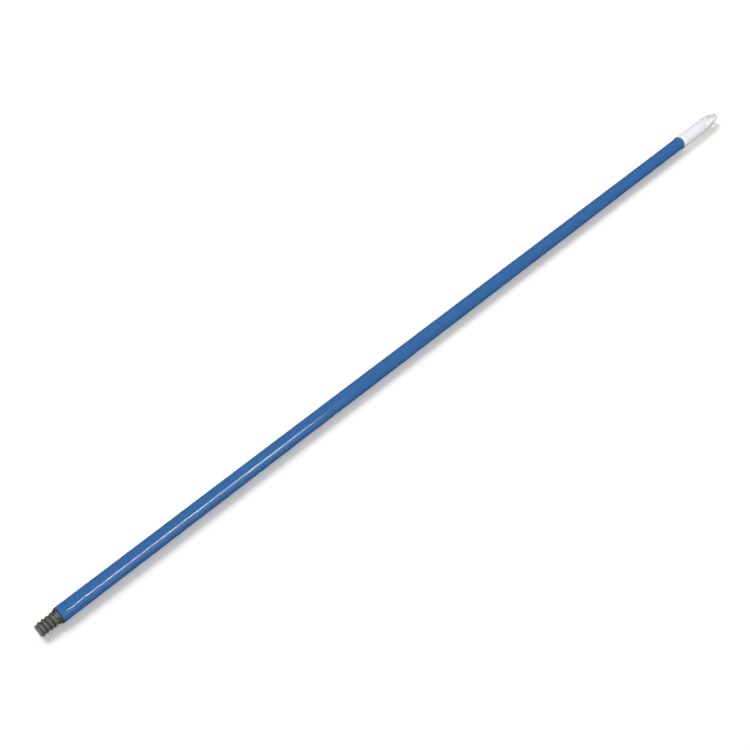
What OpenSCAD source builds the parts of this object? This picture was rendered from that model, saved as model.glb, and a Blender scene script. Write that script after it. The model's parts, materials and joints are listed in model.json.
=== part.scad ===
// Threaded utility pole: a plastic-covered metal tube with a screw-in tip at one end
// and a push-on end cap that carries a swivelling hanger at the other.
// The pole lies along +X. The origin is the centre of the tip's end face, and +Z is up.

/* [Pole] */
// Overall length, from the tip's end face to the end of the hanger
overall_l = 1524; // [900:1:1800]
// Outside diameter of the plastic skin
skin_d = 22.2; // [21.6:0.1:23]
// Thickness of the plastic skin
skin_t = 0.35; // [0.25:0.05:0.5]
// Wall thickness of the metal tube
tube_t = 0.8; // [0.6:0.1:1]

/* [Threaded tip] */
// Length of the tip outside the tube
tip_l = 31; // [29:0.5:34]
// Diameter over the thread at the end face
thread_d = 18.1; // [17.8:0.1:18.4]
// Diameter over the thread next to the collar
thread_base_d = 18.6; // [18.4:0.1:19]
// Depth of the thread
thread_h = 1.45; // [1.2:0.05:1.7]
// Distance from one turn of the thread to the next
pitch = 5.644; // [5.08:0.001:6]
// Length of the shank inside the tube
shank_l = 32; // [28:1:40]

/* [Crimps] */
// Number of crimps that hold the tip
crimp_n = 4; // [3:1:4]
// Distance of the crimps from the end of the tube
crimp_x = 14.7; // [12:0.1:18]
// Depth of a crimp
crimp_depth = 1; // [0.6:0.1:1.2]
// Radius of the ball that pressed a crimp
crimp_r = 6; // [5:0.5:7]

/* [End cap] */
// Outside diameter of the cap
cap_d = 25; // [24.6:0.1:26]
// Length of the cap
cap_l = 70; // [64:0.5:76]
// Depth of the socket that the tube sits in
socket_l = 54; // [48:0.5:56]
// Gap between the cap and the hanger, filled by the thrust ring
groove_w = 4.5; // [3.5:0.1:6]

/* [Hanger] */
// Diameter of the hanger's round base
hanger_d = 24.2; // [23.6:0.1:24.8]
// Length of the round base
base_l = 16.5; // [16:0.5:22]
// Length of the flattened nose
nose_l = 33; // [30:0.5:36]
// Thickness of the nose where it leaves the base
nose_root_t = 19; // [16:0.5:20]
// Thickness of the nose at its end
nose_end_t = 9; // [7:0.5:10]
// Angle of the nose's flats about the pole, from the vertical
nose_turn = -15; // [-90:1:90]
// Diameter of the hanging hole
hole_d = 8; // [6:0.5:9]

/* [Hidden] */
$fn = 96;

// Where the outer surfaces of the tip, skin and cap start, in degrees about the pole
seam_turn = 2;

// Stations along the pole
tube_x = tip_l;
hanger_x = overall_l - nose_l - base_l;
cap_end_x = hanger_x - groove_w;
cap_x = cap_end_x - cap_l;
bulkhead_x = cap_x + socket_l;
nose_x = overall_l - nose_l;

// Radii of the layers, from the outside in
skin_r = skin_d / 2;
tube_r = skin_r - skin_t;
bore_r = tube_r - tube_t;

// Skin: the roll pushed up ahead of the cap, and the eased edge at the tip
roll_l = 6;
roll_h = 1.1;
skin_edge = 0.15;

// Angle of the first crimp about the pole, from +Y towards +Z
crimp_turn = 77;

// Tip
collar_land = 1.4;
collar_l = 7.1;
flare = [[2.1, 0.65], [5.1, 1.8]];
core_r0 = thread_d / 2 - thread_h;
core_r1 = thread_base_d / 2 - thread_h;
collar_x = tip_l - collar_land - collar_l;
tip_bevel = 0.3;
thread_x0 = -0.7;
thread_x1 = collar_x + 4;
crest_w = 1.3;
crest_drop = 0.07;
foot_w = 4;
thread_sink = 0.6;
thread_steps = 40;
thread_turn = -18.7;
thread_start = 0.05;
thread_ramp = 8;
cored_r = 4;
cored_inset = 12;
rib_n = 4;
rib_w = 3.4;
rib_relief = 0.45;
rib_ramp = 0.6;
shank_taper = 1.6;

// Cap: rim, bevel, draft and the rounded corner at its end
rim_face = 0.25;
bevel_l = 2;
cap_draft = 0.2;
edge_r = 1;

// Swivel
screw_r = 2.5;
screw_head_r = 4.4;
screw_head_h = 3;
screw_grip = 17;
pilot_r = 2.1;
running_gap = 0.1;
face_gap = 0.3;
pocket_r = 5.6;
pocket_l = 6;
washer_r = 5.2;
washer_t = 1;
groove_r = 11.2;
slot_w = 1;
slot_l = 4;
slot_depth = 1.5;

// Hanger: rounded foot, the hanging hole with a flat land on each face, the dome's bluntness
// and the step down from the base to the nose
foot_r = 0.6;
foot_draft = 0.1;
hole_inset = 13;
hole_x = overall_l - hole_inset;
land_r = 5.8;
land_t = 11;
dome_power = 0.7;
nose_step = 1;

// Turns a profile of [distance along the pole, radius] points into a round solid
module spun(profile, turn = 0) {
    rotate([0, 90, 0])
        rotate([0, 0, turn])
            rotate_extrude()
                polygon([for (p = profile) [p[1], p[0]]]);
}

// A round bar along the pole
module bar(x, length, r) {
    translate([x, 0, 0])
        rotate([0, 90, 0])
            cylinder(h = length, r = r);
}

// The balls that shape one layer of every crimp
module crimp_balls(layers) {
    for (k = [0 : crimp_n - 1])
        rotate([crimp_turn + k * 360 / crimp_n, 0, 0])
            translate([tube_x + crimp_x, skin_r - crimp_depth + crimp_r, 0])
                sphere(r = crimp_r + layers);
}

// Metal tube with the crimps pressed into its wall
module pole_tube() {
    color("lightsteelblue")
    difference() {
        union() {
            difference() {
                bar(tube_x, bulkhead_x - tube_x, tube_r);
                bar(tube_x - 1, bulkhead_x - tube_x + 2, bore_r);
            }
            intersection() {
                bar(tube_x + crimp_x - crimp_r, 2 * crimp_r, tube_r - tube_t / 2);
                crimp_balls(skin_t + tube_t);
            }
        }
        crimp_balls(skin_t);
    }
}

// Plastic skin over the whole tube, dented with it and rolled up ahead of the cap
module pole_skin() {
    roll = [for (a = [0 : 15 : 180]) [
        cap_x - roll_l + roll_l * a / 180,
        skin_r + roll_h * (1 - cos(a)) / 2
    ]];
    color("royalblue")
    difference() {
        union() {
            spun(concat(
                [
                    [tube_x, tube_r], [tube_x, skin_r - skin_edge],
                    [tube_x + 2 * skin_edge, skin_r]
                ],
                roll,
                [[cap_x, skin_r], [bulkhead_x, skin_r], [bulkhead_x, tube_r]]
            ), seam_turn);
            intersection() {
                bar(tube_x + crimp_x - crimp_r, 2 * crimp_r, tube_r + skin_t / 2);
                crimp_balls(skin_t);
            }
        }
        crimp_balls(0);
    }
}

// Share of its full height that the thread has at fraction s of its length
function fade(s) = max(thread_start, min(1, s * thread_ramp, (1 - s) * thread_ramp));

// One cross-section of the thread at fraction s of its length
function thread_ring(s) = let (
    x = thread_x0 + s * (thread_x1 - thread_x0),
    a = thread_turn + 360 * (x - thread_x0) / pitch,
    foot_r = core_r0 + (core_r1 - core_r0) * x / tip_l - thread_sink,
    h = (thread_h + thread_sink) * fade(s)
) [
    for (p = [
        [-foot_w, 0], [-crest_w, 1 - crest_drop], [0, 1],
        [crest_w, 1 - crest_drop], [foot_w, 0]
    ]) let (r = foot_r + h * p[1])
        [x + p[0] / 2, r * cos(a), r * sin(a)]
];

// Right-hand thread swept along its helix
module thread() {
    rings = round(thread_steps * (thread_x1 - thread_x0) / pitch);
    sides = 5;
    points = [for (k = [0 : rings]) for (p = thread_ring(k / rings)) p];
    faces = concat(
        [[for (j = [sides - 1 : -1 : 0]) j]],
        [for (k = [0 : rings - 1]) for (j = [0 : sides - 1]) let (
            a = k * sides + j,
            b = k * sides + (j + 1) % sides
        ) each [[a, b, b + sides], [a, b + sides, a + sides]]],
        [[for (j = [0 : sides - 1]) rings * sides + j]]
    );
    polyhedron(points, faces, convexity = 8);
}

// Moulded tip: thread, flared collar and a ribbed shank that the crimps bite into
module threaded_tip() {
    shank_end = tube_x + shank_l;
    ribs = [for (k = [0 : rib_n - 1]) for (p = [
        [0, bore_r], [rib_w, bore_r], [rib_w + rib_ramp, bore_r - rib_relief],
        [shank_l / rib_n - 2 * rib_ramp, bore_r - rib_relief]
    ]) [tube_x + k * shank_l / rib_n + p[0], p[1]]];
    color("dimgray")
    difference() {
        union() {
            spun(concat(
                [
                    [0, 0], [0, core_r0 - tip_bevel], [tip_bevel, core_r0],
                    [collar_x, core_r1]
                ],
                [for (p = flare) [collar_x + p[0], core_r1 + p[1]]],
                [[tip_l - collar_land, skin_r], [tube_x, skin_r]],
                ribs,
                [[shank_end, bore_r - shank_taper], [shank_end, 0]]
            ), seam_turn);
            thread();
        }
        bar(-foot_w, foot_w, skin_r);
        bar(tube_x - cored_inset, cored_inset + shank_l + 1, cored_r);
        crimp_balls(skin_t + tube_t);
    }
}

// Push-on cap: a bevelled rim, a socket for the tube and a bulkhead for the screw
module end_cap() {
    cap_r = cap_d / 2;
    end_r = cap_r - cap_draft;
    rim = [
        [cap_x, skin_r + rim_face], [cap_x + bevel_l, cap_r - 0.1],
        [cap_x + 1.5 * bevel_l, cap_r]
    ];
    corner = [for (a = [0 : 15 : 90]) [
        cap_end_x - edge_r + edge_r * sin(a),
        end_r - edge_r + edge_r * cos(a)
    ]];
    color("whitesmoke")
    difference() {
        spun(concat([[cap_x, 0]], rim, corner, [[cap_end_x, 0]]), seam_turn);
        bar(cap_x - 1, socket_l + 1, skin_r);
        bar(bulkhead_x - 1, pocket_l + 1, pocket_r);
        bar(bulkhead_x, cap_end_x - bulkhead_x + 1, screw_r + running_gap);
    }
}

// Ring at the bottom of the groove, which the hanger turns against
module thrust_ring() {
    color("gainsboro")
    difference() {
        bar(cap_end_x, groove_w - face_gap, groove_r);
        bar(cap_end_x - 1, groove_w + 2, screw_r + running_gap);
    }
}

// Hanger: a round base, then a domed nose with two flats and a hanging hole
module hanger() {
    r = hanger_d / 2;
    foot = [for (a = [0 : 15 : 90]) [
        hanger_x + foot_r - foot_r * cos(a),
        r - foot_draft - foot_r + foot_r * sin(a)
    ]];
    dome = [for (a = [0 : 6 : 90]) [
        nose_x + nose_l * sin(a), (r - nose_step) * pow(cos(a), dome_power)
    ]];
    color("ivory")
    difference() {
        spun(concat([[hanger_x, 0]], foot, [[nose_x, r]], dome));
        bar(hanger_x - 1, screw_grip + 2, pilot_r);
        rotate([nose_turn, 0, 0]) {
            for (side = [0, 1])
                mirror([0, 0, side])
                    nose_flat();
            translate([hole_x, 0, 0])
                hanging_hole();
        }
    }
}

// Wedge to cut from one side of the nose, which leaves a sloping flat
module nose_flat() {
    rotate([90, 0, 0])
        linear_extrude(height = hanger_d + 4, center = true)
            polygon([
                [nose_x, nose_root_t / 2], [overall_l + 2, nose_end_t / 2],
                [overall_l + 2, hanger_d], [nose_x, hanger_d]
            ]);
}

// Hanging hole with its two lands, to cut from the nose
module hanging_hole() {
    cylinder(h = 2 * hanger_d, r = hole_d / 2, center = true);
    for (side = [0, 1])
        mirror([0, 0, side])
            translate([0, 0, land_t / 2])
                cylinder(h = hanger_d, r = land_r);
}

// Pan-head screw that holds the hanger and is its pivot
module swivel_screw() {
    head_x = bulkhead_x + pocket_l - washer_t - face_gap - screw_head_h;
    shank_x = head_x + screw_head_h;
    tip_x = hanger_x + screw_grip;
    color("silver")
    difference() {
        spun([
            [head_x, 0], [head_x, screw_head_r - 1.4], [head_x + 0.6, screw_head_r - 0.5],
            [head_x + 1.4, screw_head_r], [shank_x, screw_head_r], [shank_x, screw_r],
            [tip_x - 3, screw_r], [tip_x, 0.6], [tip_x, 0]
        ]);
        for (turn = [0, 90])
            rotate([turn, 0, 0])
                translate([head_x - 1, -slot_w / 2, -slot_l / 2])
                    cube([1 + slot_depth, slot_w, slot_l]);
    }
}

// Steel washer between the screw's head and the bulkhead
module screw_washer() {
    washer_x = bulkhead_x + pocket_l - washer_t;
    color("darkgray")
    difference() {
        bar(washer_x, washer_t, washer_r);
        bar(washer_x - 1, washer_t + 2, screw_r + running_gap);
    }
}

pole_tube();
pole_skin();
threaded_tip();
end_cap();
thrust_ring();
hanger();
swivel_screw();
screw_washer();
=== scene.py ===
import json
import math

import bmesh
import bpy
import numpy as np
from mathutils import Matrix, Quaternion, Vector


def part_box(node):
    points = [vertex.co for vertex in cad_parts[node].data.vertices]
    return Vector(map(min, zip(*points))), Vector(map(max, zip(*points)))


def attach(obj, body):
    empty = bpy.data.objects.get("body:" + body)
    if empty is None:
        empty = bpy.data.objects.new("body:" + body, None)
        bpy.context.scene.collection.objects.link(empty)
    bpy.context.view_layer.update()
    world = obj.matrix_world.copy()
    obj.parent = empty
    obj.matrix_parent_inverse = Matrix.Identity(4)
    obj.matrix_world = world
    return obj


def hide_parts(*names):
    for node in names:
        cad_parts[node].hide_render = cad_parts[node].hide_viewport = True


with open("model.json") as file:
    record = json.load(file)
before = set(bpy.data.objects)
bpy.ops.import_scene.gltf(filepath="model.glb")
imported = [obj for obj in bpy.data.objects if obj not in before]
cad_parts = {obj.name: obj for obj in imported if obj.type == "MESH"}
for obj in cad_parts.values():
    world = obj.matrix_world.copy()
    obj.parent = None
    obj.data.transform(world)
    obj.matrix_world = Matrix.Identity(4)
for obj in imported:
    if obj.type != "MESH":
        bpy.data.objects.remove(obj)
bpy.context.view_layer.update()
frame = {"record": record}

MM = 0.001

# Places and sizes that the frame gives
MOUNTS = {m["name"]: m for m in frame["record"]["mounts"]}
SKIN_R = MOUNTS["pole_grip"]["dims"]["r_mm"] * MM
HOLE_R = MOUNTS["hang_hole"]["dims"]["r_mm"] * MM
HOLE_L = MOUNTS["hang_hole"]["dims"]["length_mm"] * MM
HOLE_AXIS = Vector(MOUNTS["hang_hole"]["axis"]).normalized()
HOLE_X = MOUNTS["hang_hole"]["pos_m"][0]
TUBE_X0, TUBE_X1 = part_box("pole_skin")[0].x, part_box("pole_skin")[1].x
TUBE_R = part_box("pole_tube")[1].z
CAP_X0, CAP_X1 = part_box("end_cap")[0].x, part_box("end_cap")[1].x
CAP_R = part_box("end_cap")[1].z
RING_X0, RING_X1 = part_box("thrust_ring")[0].x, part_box("thrust_ring")[1].x
RING_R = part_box("thrust_ring")[1].z
HANGER_X0, HANGER_X1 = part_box("hanger")[0].x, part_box("hanger")[1].x
HANGER_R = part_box("hanger")[1].z
SHANK_X1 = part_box("threaded_tip")[1].x
SCREW_X0, SCREW_X1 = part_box("swivel_screw")[0].x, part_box("swivel_screw")[1].x
WASHER_X0, WASHER_X1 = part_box("screw_washer")[0].x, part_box("screw_washer")[1].x
WASHER_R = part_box("screw_washer")[1].z

# Tube wall and skin
TUBE_T = 0.8 * MM
ROLL_L = 6 * MM
ROLL_H = 1.1 * MM

# Crimps: dents pressed by a ball, evenly round the tube
CRIMP_N = 4
CRIMP_X = 14.7 * MM
CRIMP_DEPTH = 1 * MM
CRIMP_BALL = 6 * MM
CRIMP_TURN = math.radians(77)

# Thread of the tip, single start and right-handed
PITCH = 5.644 * MM
THREAD_X0 = -0.7 * MM
THREAD_X1 = 26.5 * MM
THREAD_TURN = math.radians(-18.7)
THREAD_H = 1.6 * MM
THREAD_RAMP = 8
CORE_R0 = 7.6 * MM
CORE_R1 = 7.85 * MM
CREST_HALF = 0.35 * MM
FOOT_BACK = 1.8 * MM
FOOT_FRONT = 1.4 * MM
COLLAR_L = 7.1 * MM
COLLAR_LAND = 1.4 * MM

FLARE = ((2.1 * MM, 0.65 * MM), (5.1 * MM, 1.8 * MM))
FLARE_ROUND = 3 * MM
SHANK_TAPER = 0.4 * MM
CORED_R = 4 * MM
CORED_INSET = 12 * MM

# End cap: the bevel at its rim, the draft of its barrel and the pocket for the screw's head
RIM_FACE = 0.35 * MM
BEVEL_L = 2.2 * MM
CAP_DRAFT = 0.2 * MM
POCKET_R = 5.6 * MM
POCKET_L = 6 * MM

# Hanger: NOSE_ROOT_HALF and NOSE_END_HALF are half of the nose's thickness between its flats
BASE_L = 16.5 * MM
DOME_POWER = 0.7
NOSE_STEP = 1 * MM
NOSE_ROOT_HALF = 9.5 * MM
NOSE_END_HALF = 4.5 * MM
SHOULDER_L = 0.8 * MM
FLAT_EASE = 0.7 * MM
FLAT_SOFT = 0.12 * MM
LAND_R = 5.8 * MM
HOLE_RIM = 0.5 * MM
LAND_CORNER = 0.3 * MM

# Swivel
SCREW_R = 2.5 * MM
SCREW_HEAD_R = 4.4 * MM
SCREW_HEAD_H = 3 * MM
BORE_R = 2.6 * MM
PILOT_R = 2.1 * MM
PILOT_L = 18 * MM
COIL_PITCH = 1.8 * MM
COIL_DEPTH = 0.5 * MM

# Facets round a piece, and the angle from which an edge is shaded as a sharp one
SEGMENTS = 128
SHARP = math.radians(32)


# ---------------------------------------------------------------- mesh tools

def rounded(corners, steps=5):
    """Profile points from corners of (x, radius, rounding), each corner rounded by an arc."""
    pts = [np.array(c[:2], float) for c in corners]
    out = []
    for i, corner in enumerate(corners):
        size = corner[2] if len(corner) > 2 else 0
        if not size or i in (0, len(corners) - 1):
            out.append(pts[i])
            continue
        before, after = pts[i - 1] - pts[i], pts[i + 1] - pts[i]
        lb, la = np.linalg.norm(before), np.linalg.norm(after)
        before, after = before / lb, after / la
        half = math.acos(np.clip(before @ after, -1, 1)) / 2
        reach = min(size / math.tan(half), 0.49 * lb, 0.49 * la)
        radius = reach * math.tan(half)
        middle = pts[i] + (before + after) / np.linalg.norm(before + after) * radius / math.sin(half)
        a, b = pts[i] + before * reach - middle, pts[i] + after * reach - middle
        turn = math.pi - 2 * half
        for t in np.linspace(0, 1, steps + 1):
            out.append(middle + (a * math.sin((1 - t) * turn) + b * math.sin(t * turn)) / math.sin(turn))
    return [tuple(p) for p in out]


def stations(profile, step):
    """The same profile with points added so that no stretch is longer than step."""
    out = [profile[0]]
    for a, b in zip(profile, profile[1:]):
        n = max(1, math.ceil(math.dist(a, b) / step))
        out += [(a[0] + (b[0] - a[0]) * k / n, a[1] + (b[1] - a[1]) * k / n) for k in range(1, n + 1)]
    return out


def finish_mesh(name, verts, faces):
    mesh = bpy.data.meshes.new(name)
    mesh.from_pydata([tuple(v) for v in verts], [], faces)
    mesh.validate()
    mesh.shade_smooth()
    mesh.set_sharp_from_angle(angle=SHARP)
    obj = bpy.data.objects.new(name, mesh)
    bpy.context.scene.collection.objects.link(obj)
    return obj


def spun(name, profile, closed=False, reshape=None, segments=SEGMENTS):
    """A solid of revolution about the pole's axis. A closed profile gives a hollow piece,
    and an open one starts and ends on the axis. reshape(x, radius, angle) bends the surface."""
    angles = np.arange(segments) * 2 * math.pi / segments
    verts, rows = [], []
    for x, r in profile:
        if r < 1e-9:
            rows.append([len(verts)] * segments)
            verts.append((x, 0, 0))
            continue
        rr = np.full(segments, r)
        if reshape:
            rr = reshape(np.full(segments, x), rr, angles)
        rows.append(list(range(len(verts), len(verts) + segments)))
        verts += [(x, q * math.cos(a), q * math.sin(a)) for q, a in zip(rr, angles)]
    pairs = list(zip(rows, rows[1:]))
    if closed:
        pairs.append((rows[-1], rows[0]))
    faces = []
    for a, b in pairs:
        for k in range(segments):
            n = (k + 1) % segments
            face = [a[k], a[n], b[n], b[k]]
            face = [v for i, v in enumerate(face) if v not in face[:i]]
            faces.append(face)
    return finish_mesh(name, verts, faces)


def add_piece(obj, body, node, material):
    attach(obj, body)
    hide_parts(node)
    obj.data.materials.clear()
    obj.data.materials.append(material)
    return obj


# ---------------------------------------------------------------- shapes

def ball_dent(x, r, angle, layer):
    """Radius of a surface after the crimping balls, grown by layer, have pressed into it."""
    ball = CRIMP_BALL + layer
    centre = SKIN_R - CRIMP_DEPTH + CRIMP_BALL
    out = r.copy()
    for k in range(CRIMP_N):
        d = (angle - CRIMP_TURN - k * 2 * math.pi / CRIMP_N + math.pi) % (2 * math.pi) - math.pi
        dx = x - TUBE_X0 - CRIMP_X
        under = (centre * np.cos(d)) ** 2 - centre ** 2 + ball ** 2 - dx ** 2
        hit = (under > 0) & (np.abs(d) < 1)
        near = centre * np.cos(d) - np.sqrt(np.clip(under, 0, None))
        out = np.where(hit, np.minimum(out, near), out)
    return out


def pole_skin(material):
    roll = [
        (CAP_X0 - ROLL_L * (1 - t), SKIN_R + ROLL_H * (1 - math.cos(math.pi * t)) / 2)
        for t in np.linspace(0, 1, 13)
    ]
    crimp0, crimp1 = TUBE_X0 + CRIMP_X - CRIMP_BALL, TUBE_X0 + CRIMP_X + CRIMP_BALL
    outer = rounded([(TUBE_X0, TUBE_R), (TUBE_X0, SKIN_R, 0.3 * MM), (crimp0, SKIN_R)])
    outer += stations([(crimp0, SKIN_R), (crimp1, SKIN_R)], 0.25 * MM)[1:]
    outer += stations([(crimp1, SKIN_R), (CAP_X0 - ROLL_L, SKIN_R)], 25 * MM)[1:-1]
    outer += roll + [(CAP_X0, SKIN_R), (TUBE_X1, SKIN_R), (TUBE_X1, TUBE_R)]
    inner = stations([(TUBE_X1, TUBE_R), (crimp1, TUBE_R)], 50 * MM)[1:]
    inner += stations([(crimp1, TUBE_R), (crimp0, TUBE_R)], 0.5 * MM)[1:]

    def dented(x, r, angle):
        layer = 0 if r[0] > (SKIN_R + TUBE_R) / 2 else SKIN_R - TUBE_R
        return ball_dent(x, r, angle, layer)

    obj = spun("blue_skin", outer + inner, closed=True, reshape=dented, segments=192)
    return add_piece(obj, "pole", "pole_skin", material)


def smooth_clamp(a, ease=0.012):
    return 0.5 * (np.sqrt(a * a + ease) - np.sqrt((a - 1) ** 2 + ease) + 1)


def thread_height(x, angle):
    """Height of the helical thread above the core."""
    turns = (x - THREAD_X0) / PITCH - (angle - THREAD_TURN) / (2 * math.pi)
    off = (turns - np.round(turns)) * PITCH
    share = (x - off - THREAD_X0) / (THREAD_X1 - THREAD_X0)
    fade = np.clip(np.minimum(share, 1 - share) * THREAD_RAMP, 0, 1)
    foot = np.where(off < 0, FOOT_BACK, FOOT_FRONT)
    rise = smooth_clamp((foot - np.abs(off)) / (foot - CREST_HALF))
    return THREAD_H * rise * fade


def tip_radius(x, r, angle):
    """Adds the thread to the core; the flare before the collar swallows its last turn."""
    core = CORE_R0 + (CORE_R1 - CORE_R0) * x / TUBE_X0 + thread_height(x, angle)
    outside = (x < TUBE_X0 - COLLAR_LAND) & (r > CORE_R0 - 0.5 * MM)
    chamfer = r + 0.8 * x + 0.05 * MM
    soft = 0.1 * MM
    tall = (r + core + np.sqrt((r - core) ** 2 + soft ** 2)) / 2
    return np.where(outside, np.minimum(tall, chamfer), r)


def threaded_tip(material):
    collar_x = TUBE_X0 - COLLAR_LAND - COLLAR_L
    bore_r = TUBE_R - TUBE_T
    core = rounded([
        (0, 0), (0, CORE_R0, 0.2 * MM), (collar_x, CORE_R1, 1.5 * MM),
        *[(collar_x + along, CORE_R1 + out, FLARE_ROUND) for along, out in FLARE],
        (TUBE_X0 - COLLAR_LAND, SKIN_R, 0.3 * MM), (TUBE_X0, SKIN_R, 0.15 * MM),
        (TUBE_X0, bore_r), (SHANK_X1, bore_r - SHANK_TAPER, 1 * MM), (SHANK_X1, CORED_R),
        (TUBE_X0 - CORED_INSET, CORED_R), (TUBE_X0 - CORED_INSET, 0),
    ])
    # Fine steps over the thread and collar, coarse ones along the hidden shank
    profile = []
    for p in stations(core, 0.14 * MM):
        if p[0] < TUBE_X0 + 0.2 * MM or not profile or math.dist(p, profile[-1]) > 2 * MM:
            profile.append(p)
    profile.append(core[-1])
    obj = spun("grey_tip", profile, reshape=tip_radius, segments=160)
    return add_piece(obj, "pole", "threaded_tip", material)


def end_cap(material):
    bulkhead = TUBE_X1
    profile = rounded([
        (CAP_X0, SKIN_R), (CAP_X0, SKIN_R + RIM_FACE, 0.15 * MM),
        (CAP_X0 + BEVEL_L, CAP_R, 1.5 * MM), (CAP_X1, CAP_R - CAP_DRAFT, 1 * MM),
        (CAP_X1, BORE_R, 0.3 * MM), (bulkhead + POCKET_L, BORE_R),
        (bulkhead + POCKET_L, POCKET_R), (bulkhead, POCKET_R), (bulkhead, SKIN_R), (CAP_X0, SKIN_R),
    ])[:-1]
    obj = spun("white_cap", stations(profile, 8 * MM), closed=True)
    return add_piece(obj, "pole", "end_cap", material)


def thrust_ring(material):
    profile = rounded([
        (RING_X0, BORE_R), (RING_X0, RING_R, 0.3 * MM), (RING_X1, RING_R, 0.3 * MM),
        (RING_X1, BORE_R), (RING_X0, BORE_R),
    ])[:-1]
    obj = spun("white_thrust_ring", profile, closed=True)
    return add_piece(obj, "pole", "thrust_ring", material)


def hanger(material):
    nose_x = HANGER_X0 + BASE_L
    nose_l = HANGER_X1 - nose_x
    nose_r = HANGER_R - NOSE_STEP
    flat_angle = math.atan2(HOLE_AXIS.z, HOLE_AXIS.y)

    def flattened(x, r, angle):
        share = np.clip((x - nose_x) / nose_l, 0, 1)
        half = NOSE_ROOT_HALF + (NOSE_END_HALF - NOSE_ROOT_HALF) * share
        reach = half / np.maximum(np.abs(np.cos(angle - flat_angle)), 1e-3)
        cut = (r + reach - np.sqrt((r - reach) ** 2 + 4 * FLAT_SOFT * FLAT_SOFT)) / 2
        ease = np.clip((x - nose_x) / FLAT_EASE, 0, 1)
        ease = ease * ease * (3 - 2 * ease)
        return r + (np.minimum(cut, r) - r) * ease

    base = rounded([
        (HANGER_X0, PILOT_R), (HANGER_X0, HANGER_R - 0.1 * MM, 0.6 * MM),
        (nose_x, HANGER_R, 0.25 * MM), (nose_x, nose_r),
    ])
    shoulder = [(nose_x + t, nose_r) for t in np.linspace(0, SHOULDER_L, 9)]
    dome = [
        (nose_x + nose_l * math.sin(a), nose_r * max(math.cos(a), 0) ** DOME_POWER)
        for a in np.linspace(math.asin(SHOULDER_L / nose_l), math.pi / 2, 72)
    ]
    pilot = [(HANGER_X0 + PILOT_L, 0), (HANGER_X0 + PILOT_L, PILOT_R)]
    profile = pilot + base + shoulder[1:-1] + dome[:-1] + [(HANGER_X1, 0)]
    obj = spun("white_hanger", profile, reshape=flattened, segments=192)
    cut_hole(obj)
    return add_piece(obj, "hanger", "hanger", material)


def cut_hole(obj):
    """Cuts the hanging hole, with a rounded rim and a flat land on each face."""
    half, deep = HOLE_L / 2, HANGER_R * 1.3
    upper = [
        (half - HOLE_RIM + HOLE_RIM * math.sin(a), HOLE_R + HOLE_RIM - HOLE_RIM * math.cos(a))
        for a in np.linspace(0, math.pi / 2, 7)
    ]
    upper += [
        (half + LAND_CORNER * (1 - math.cos(a)), LAND_R - LAND_CORNER * (1 - math.sin(a)))
        for a in np.linspace(0, math.pi / 2, 5)
    ]
    upper += [(deep, LAND_R + 0.4 * MM), (deep, 0)]
    lower = [(-x, r) for x, r in reversed(upper)]
    cutter = spun("hole_cutter", lower + upper, segments=96)
    turn = HOLE_AXIS.to_track_quat("X", "Z").to_matrix().to_4x4()
    cutter.matrix_world = Matrix.Translation((HOLE_X, 0, 0)) @ turn
    cut = obj.modifiers.new("hole", "BOOLEAN")
    cut.operation = "DIFFERENCE"
    cut.solver = "EXACT"
    cut.object = cutter
    bpy.context.view_layer.update()
    evaluated = obj.evaluated_get(bpy.context.evaluated_depsgraph_get())
    made = bpy.data.meshes.new_from_object(evaluated)
    obj.modifiers.clear()
    obj.data = made
    obj.data.name = obj.name
    # The cut leaves slivers and large many-sided faces
    clean = bmesh.new()
    clean.from_mesh(made)
    bmesh.ops.dissolve_degenerate(clean, dist=0.01 * MM, edges=clean.edges)
    bmesh.ops.triangulate(clean, faces=clean.faces)
    clean.to_mesh(made)
    clean.free()
    made.shade_smooth()
    made.set_sharp_from_angle(angle=SHARP)
    bpy.data.objects.remove(cutter)


def pole_tube(material):
    crimp0, crimp1 = TUBE_X0 + CRIMP_X - CRIMP_BALL, TUBE_X0 + CRIMP_X + CRIMP_BALL
    bore = TUBE_R - TUBE_T
    outer = stations([(TUBE_X0, TUBE_R), (crimp0, TUBE_R)], 8 * MM)
    outer += stations([(crimp0, TUBE_R), (crimp1, TUBE_R)], 0.5 * MM)[1:]
    outer += stations([(crimp1, TUBE_R), (TUBE_X1, TUBE_R)], 50 * MM)[1:]
    inner = [(x, bore) for x, r in reversed(outer)]

    def dented(x, r, angle):
        layer = SKIN_R - TUBE_R if r[0] > (TUBE_R + bore) / 2 else SKIN_R - TUBE_R + TUBE_T
        return ball_dent(x, r, angle, layer)

    obj = spun("metal_tube", outer + inner, closed=True, reshape=dented)
    return add_piece(obj, "pole", "pole_tube", material)


def swivel_screw(material):
    shank = SCREW_X0 + SCREW_HEAD_H

    def threaded(x, r, angle):
        on = (x > HANGER_X0 + 1 * MM) & (r > 0.5 * MM)
        turns = x / COIL_PITCH - angle / (2 * math.pi)
        ridge = 1 - np.clip(np.abs(turns - np.round(turns)) * 3, 0, 1)
        fade = np.clip((x - HANGER_X0) / (3 * MM), 0, 1)
        return np.where(on, r - COIL_DEPTH * (1 - ridge) * fade, r)

    profile = rounded([
        (SCREW_X0, 0), (SCREW_X0, SCREW_HEAD_R - 1.2 * MM, 0.5 * MM),
        (SCREW_X0 + 1.4 * MM, SCREW_HEAD_R, 1 * MM), (shank, SCREW_HEAD_R, 0.2 * MM),
        (shank, SCREW_R), (SCREW_X1 - 3 * MM, SCREW_R), (SCREW_X1, 0),
    ])
    obj = spun("steel_swivel_screw", stations(profile, 0.3 * MM), reshape=threaded, segments=64)
    return add_piece(obj, "hanger", "swivel_screw", material)


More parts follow.
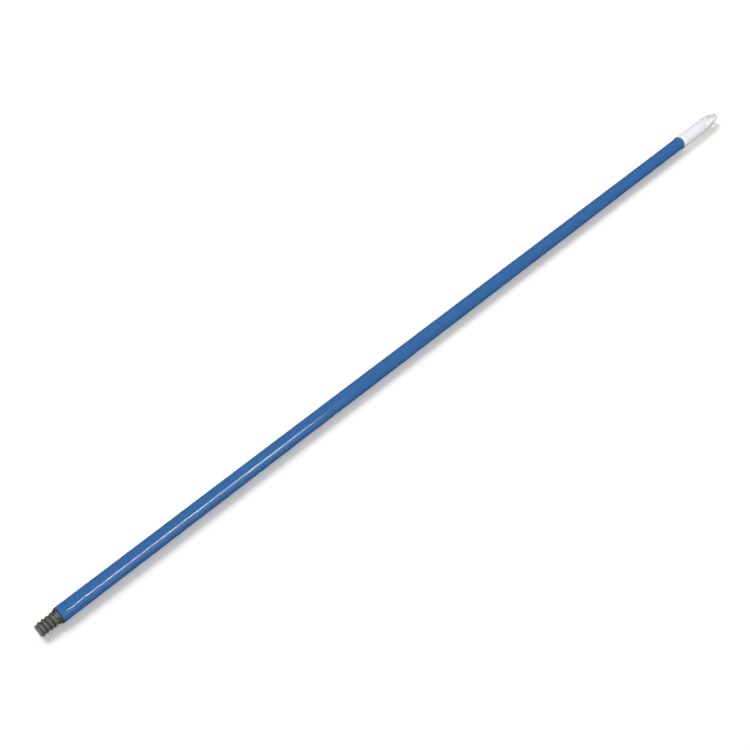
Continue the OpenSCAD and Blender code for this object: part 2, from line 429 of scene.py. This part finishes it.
def screw_washer(material):
    profile = rounded([
        (WASHER_X0, BORE_R), (WASHER_X0, WASHER_R, 0.1 * MM), (WASHER_X1, WASHER_R, 0.25 * MM),
        (WASHER_X1, BORE_R), (WASHER_X0, BORE_R),
    ])[:-1]
    obj = spun("steel_washer", profile, closed=True, segments=96)
    return add_piece(obj, "pole", "screw_washer", material)


# ---------------------------------------------------------------- materials

def plastic(name, colour, roughness, mottle=0.04, bump=0.02, grain=900, spec=0.5):
    """Moulded plastic: mottle clouds its colour, and fine noise varies its gloss and surface."""
    mat = bpy.data.materials.new(name)
    mat.use_nodes = True
    nt = mat.node_tree
    shader = nt.nodes["Principled BSDF"]
    shader.inputs["Specular IOR Level"].default_value = spec
    where = nt.nodes.new("ShaderNodeTexCoord")
    cloud = nt.nodes.new("ShaderNodeTexNoise")
    cloud.inputs["Scale"].default_value = 35
    cloud.inputs["Detail"].default_value = 4
    nt.links.new(where.outputs["Object"], cloud.inputs["Vector"])
    ramp = nt.nodes.new("ShaderNodeValToRGB")
    ramp.color_ramp.elements[0].position = 0.3
    ramp.color_ramp.elements[1].position = 0.7
    ramp.color_ramp.elements[0].color = (*[c * (1 - mottle) for c in colour], 1)
    ramp.color_ramp.elements[1].color = (*[min(1, c * (1 + mottle)) for c in colour], 1)
    nt.links.new(cloud.outputs["Fac"], ramp.inputs["Fac"])
    nt.links.new(ramp.outputs["Color"], shader.inputs["Base Color"])
    fine = nt.nodes.new("ShaderNodeTexNoise")
    fine.inputs["Scale"].default_value = grain
    fine.inputs["Detail"].default_value = 3
    nt.links.new(where.outputs["Object"], fine.inputs["Vector"])
    spread = nt.nodes.new("ShaderNodeMapRange")
    spread.inputs["To Min"].default_value = roughness * 0.85
    spread.inputs["To Max"].default_value = roughness * 1.15
    nt.links.new(fine.outputs["Fac"], spread.inputs["Value"])
    nt.links.new(spread.outputs["Result"], shader.inputs["Roughness"])
    relief = nt.nodes.new("ShaderNodeBump")
    relief.inputs["Strength"].default_value = bump
    relief.inputs["Distance"].default_value = 0.0005
    nt.links.new(fine.outputs["Fac"], relief.inputs["Height"])
    nt.links.new(relief.outputs["Normal"], shader.inputs["Normal"])
    return mat


def moulded_tip(name, lit_root_colour, crest_shade_colour):
    """Dark nylon, painted paler in the roots of the thread and darker on its crests and on the collar:
    painted light and shade for how light falls on the thread.
    """
    mat = plastic(name, lit_root_colour, 0.5, mottle=0.2, bump=0.05)
    nt = mat.node_tree
    shader = nt.nodes["Principled BSDF"]
    where = nt.nodes["Texture Coordinate"]
    flat = nt.nodes.new("ShaderNodeVectorMath")
    flat.operation = "MULTIPLY"
    flat.inputs[1].default_value = (0, 1, 1)
    nt.links.new(where.outputs["Object"], flat.inputs[0])
    away = nt.nodes.new("ShaderNodeVectorMath")
    away.operation = "LENGTH"
    nt.links.new(flat.outputs["Vector"], away.inputs[0])
    crest_shade_mask = nt.nodes.new("ShaderNodeMapRange")
    crest_shade_mask.interpolation_type = "SMOOTHSTEP"
    crest_shade_mask.inputs["From Min"].default_value = CORE_R0 + 0.5 * MM
    crest_shade_mask.inputs["From Max"].default_value = CORE_R0 + THREAD_H
    nt.links.new(away.outputs["Value"], crest_shade_mask.inputs["Value"])
    # Painted shade: the crests and the collar take the darker colour, and the roots keep the paler one
    # as painted light
    mix = nt.nodes.new("ShaderNodeMix")
    mix.data_type = "RGBA"
    nt.links.new(crest_shade_mask.outputs["Result"], mix.inputs["Factor"])
    nt.links.new(nt.nodes["Color Ramp"].outputs["Color"], mix.inputs["A"])
    mix.inputs["B"].default_value = (*crest_shade_colour, 1)
    nt.links.new(mix.outputs["Result"], shader.inputs["Base Color"])
    return mat


def steel(name, colour):
    mat = plastic(name, colour, 0.32, mottle=0.08, bump=0.05, grain=1500)
    mat.node_tree.nodes["Principled BSDF"].inputs["Metallic"].default_value = 1
    return mat


# ---------------------------------------------------------------- setting

def floor():
    """Pale floor that touches the skin beside the tip and the end cap."""
    low_tip, low_cap = -SKIN_R, -CAP_R
    tilt = math.atan2(low_tip - low_cap, CAP_X0 - TUBE_X0)
    bpy.ops.mesh.primitive_plane_add(size=60)
    obj = bpy.context.object
    obj.name = "floor"
    obj.rotation_euler = (0, tilt, 0)
    obj.location = (TUBE_X0, 0, low_tip)
    mat = bpy.data.materials.new("floor_white")
    mat.use_nodes = True
    shader = mat.node_tree.nodes["Principled BSDF"]
    shader.inputs["Base Color"].default_value = (0.96, 0.94, 0.915, 1)
    shader.inputs["Roughness"].default_value = 0.9
    shader.inputs["Specular IOR Level"].default_value = 0.1
    obj.data.materials.append(mat)
    obj.visible_glossy = False
    return obj


def place_lamp(lamp, side, aim=(0, 0, 0), distance=3, only=(), diffuse=True, glossy=True):
    """Puts a lamp on the side of the object that the vector gives; only lists what it lights."""
    obj = bpy.data.objects.new(lamp.name, lamp)
    bpy.context.scene.collection.objects.link(obj)
    obj.location = Vector(aim) + Vector(side).normalized() * distance
    obj.rotation_mode = "QUATERNION"
    obj.rotation_quaternion = (-Vector(side)).to_track_quat("-Z", "Y")
    obj.visible_diffuse, obj.visible_glossy = diffuse, glossy
    if only:
        lit = bpy.data.collections.new(lamp.name + "_lights")
        for piece in only:
            lit.objects.link(piece)
        obj.light_linking.receiver_collection = lit


def far_light(name, side, strength, spread, only=(), diffuse=True, glossy=True):
    """A softbox so far away that it lights the whole length of the pole alike."""
    lamp = bpy.data.lights.new(name, "SUN")
    lamp.energy = strength * math.pi
    lamp.angle = spread
    place_lamp(lamp, side, only=only, diffuse=diffuse, glossy=glossy)


def lights(ground, barrel, hardware, skin, tip, nose):
    """The floor and the object have lamps of their own, so that the shadow stays narrow and soft.
    barrel lists the pieces from the tip to the groove, and hardware the screw and its washer."""
    world = bpy.data.worlds.new("studio")
    bpy.context.scene.world = world
    world.use_nodes = True
    back = world.node_tree.nodes["Background"]
    back.inputs["Color"].default_value = (1, 1, 1, 1)
    back.inputs["Strength"].default_value = 0.38
    world.cycles_visibility.glossy = False
    pieces = barrel + [nose] + hardware
    far_light("shadow", (0, 0.574, 0.819), 0.56, 0.5, only=[ground])
    far_light("floor_fill", (0, -0.535, 0.845), 0.33, 0.1, only=[ground])
    far_light("main", (-0.55, 0, 0.835), 0.85, 0.5, only=pieces)
    far_light("side", (-0.9, -0.15, 0.35), 0.5, 0.9, only=[tip], diffuse=False)
    far_light("end", (-1, -0.02, 0.04), 0.7, 0.4, only=pieces, glossy=False)
    far_light("low", (0.2, -0.95, 0.2), 0.14, 0.5, only=barrel)
    far_light("nose", (0.75, -0.6, 0.3), 0.3, 0.5, only=[nose])
    strip = bpy.data.lights.new("strip", "AREA")
    strip.shape = "RECTANGLE"
    strip.size, strip.size_y = 0.75, 0.03
    strip.energy = 20
    place_lamp(strip, (0, -0.678, 0.735), aim=(0.557, 0, 0), distance=1, only=[skin], diffuse=False)


def camera():
    """Looks down and along the pole from beside its tip."""
    forward = Vector((0.4833, 0.4684, -0.7396)).normalized()
    looked_at = Vector((0.5866, -0.0003, 0))
    distance = 1.5470
    roll = Quaternion((0, 0, 1), 0.0009)
    cam = bpy.data.cameras.new("camera")
    cam.lens = 50
    cam.sensor_width = 36
    obj = bpy.data.objects.new("camera", cam)
    bpy.context.scene.collection.objects.link(obj)
    obj.location = looked_at - forward * distance
    obj.rotation_mode = "QUATERNION"
    obj.rotation_quaternion = forward.to_track_quat("-Z", "Y") @ roll
    bpy.context.scene.camera = obj


blue = plastic("blue_skin_plastic", (0.038, 0.127, 0.325), 0.13, mottle=0.03, bump=0.003, spec=0.2)
# The tip's two colours paint light into the thread's roots and shade onto its crests and collar
grey = moulded_tip("tip_nylon", (0.107, 0.101, 0.093), (0.036, 0.034, 0.032))
white = plastic("cap_white_plastic", (0.80, 0.80, 0.85), 0.38, mottle=0.01)
# The ring's white is a darker copy of the cap's white: painted shade for the groove between the cap and
# the hanger
ring_shaded_white = plastic("ring_shaded_white_plastic", (0.76, 0.76, 0.81), 0.4, mottle=0.01)
hanger_white = plastic("hanger_white_plastic", (0.71, 0.71, 0.71), 0.32, mottle=0.01)
tube_steel = steel("tube_steel", (0.56, 0.57, 0.58))
zinc = steel("zinc_steel", (0.62, 0.62, 0.63))

camera()
skin_piece = pole_skin(blue)
tube_piece = pole_tube(tube_steel)
tip_piece = threaded_tip(grey)
cap_piece = end_cap(white)
ring_piece = thrust_ring(ring_shaded_white)
hanger_piece = hanger(hanger_white)
screw_piece = swivel_screw(zinc)
washer_piece = screw_washer(zinc)
lights(
    floor(),
    barrel=[tube_piece, skin_piece, tip_piece, cap_piece, ring_piece],
    hardware=[screw_piece, washer_piece],
    skin=skin_piece, tip=tip_piece, nose=hanger_piece,
)
bpy.context.scene.view_settings.view_transform = "Standard"
# Linked lights sampled through the light tree come out differently from run to run
bpy.context.scene.cycles.use_light_tree = False
